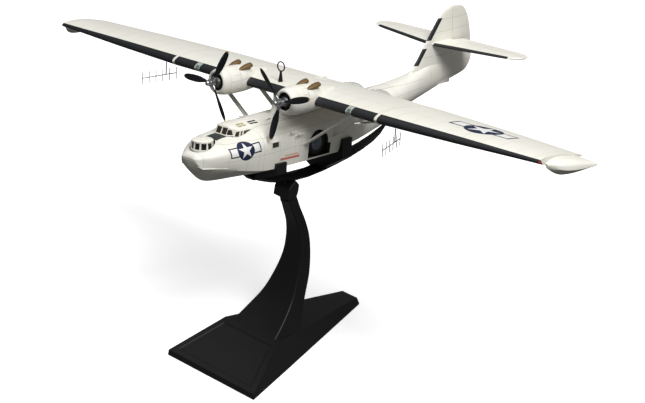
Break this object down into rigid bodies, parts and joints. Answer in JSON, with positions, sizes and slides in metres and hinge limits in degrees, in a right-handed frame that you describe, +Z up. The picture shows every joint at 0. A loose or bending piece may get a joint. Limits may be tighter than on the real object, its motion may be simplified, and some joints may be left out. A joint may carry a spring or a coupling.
{
  "type": "flying boat display model",
  "caption": "Die-cast display model of a twin-engined parasol-wing amphibious flying boat, banked on a moulded stand, with turning propellers and wheels.",
  "frame": {"origin": "middle of the whole model's box, on the underside of the stand's base", "axes": "+Z up, -Y towards the nose, +X towards the port wing tip; the aircraft itself is held nose up and banked, port wing high"},
  "size_m": [0.4382, 0.2664, 0.2052],
  "materials": {
    "white_paint": "warm off-white satin paint",
    "black_paint": "black satin paint",
    "exhaust_brown": "burnt brown matt paint",
    "bright_metal": "polished",
    "grey_paint": "bluish grey paint",
    "clear_plastic": "tinted clear",
    "tyre_rubber": "matt black",
    "stand_plastic": "moulded black, semi-gloss"
  },
  "bodies": {
    "aircraft_on_stand": {"hull": "white_paint", "canopy": "white_paint", "bow_turret_wall": "white_paint", "bow_turret_glass": "clear_plastic", "bow_turret_roof": "white_paint", "pylon": "white_paint", "wing_centre": "white_paint", "wing_outer_port": "white_paint", "wing_outer_starboard": "white_paint", "landing_light_port": "clear_plastic", "landing_light_starboard": "clear_plastic", "tip_float_port": "white_paint", "tip_float_starboard": "white_paint", "nacelle_port": "white_paint", "nacelle_starboard": "white_paint", "cowl_port": "white_paint", "cowl_starboard": "white_paint", "engine_port": "black_paint", "engine_starboard": "black_paint", "exhaust_inner_port": "exhaust_brown", "exhaust_inner_starboard": "exhaust_brown", "exhaust_outer_port": "exhaust_brown", "exhaust_outer_starboard": "exhaust_brown", "strut_front_port": "white_paint", "strut_front_starboard": "white_paint", "strut_rear_port": "white_paint", "strut_rear_starboard": "white_paint", "fin": "white_paint", "rudder": "white_paint", "tailplane_port": "white_paint", "tailplane_starboard": "white_paint", "elevator_port": "white_paint", "elevator_starboard": "white_paint", "blister_port": "clear_plastic", "blister_starboard": "clear_plastic", "wheel_axle_port": "grey_paint", "wheel_axle_starboard": "grey_paint", "loop_aerial": "black_paint", "homing_aerial_port": "grey_paint", "homing_aerial_starboard": "grey_paint", "stand_base": "stand_plastic", "stand_neck": "stand_plastic", "stand_cradle": "stand_plastic"},
    "propeller_port": {"propeller_port": "black_paint", "spinner_port": "bright_metal"},
    "propeller_starboard": {"propeller_starboard": "black_paint", "spinner_starboard": "bright_metal"},
    "main_wheel_port": {"tyre_port": "tyre_rubber", "wheel_port": "grey_paint"},
    "main_wheel_starboard": {"tyre_starboard": "tyre_rubber", "wheel_starboard": "grey_paint"}
  },
  "joints": [
    {"name": "propeller_port_spin", "type": "hinge", "parent": "aircraft_on_stand", "child": "propeller_port", "pos_m": [0.02765, -0.0799, 0.18808], "axis": [0.0212, 0.9785, -0.2051], "continuous": true},
    {"name": "propeller_starboard_spin", "type": "hinge", "parent": "aircraft_on_stand", "child": "propeller_starboard", "pos_m": [-0.03143, -0.0799, 0.18198], "axis": [0.0212, 0.9785, -0.2051], "continuous": true},
    {"name": "main_wheel_port_roll", "type": "hinge", "parent": "aircraft_on_stand", "child": "main_wheel_port", "pos_m": [0.02047, -0.04139, 0.14378], "axis": [0.9947, 0, 0.1028], "continuous": true},
    {"name": "main_wheel_starboard_roll", "type": "hinge", "parent": "aircraft_on_stand", "child": "main_wheel_starboard", "pos_m": [-0.01534, -0.04139, 0.14008], "axis": [0.9947, 0, 0.1028], "continuous": true}
  ]
}
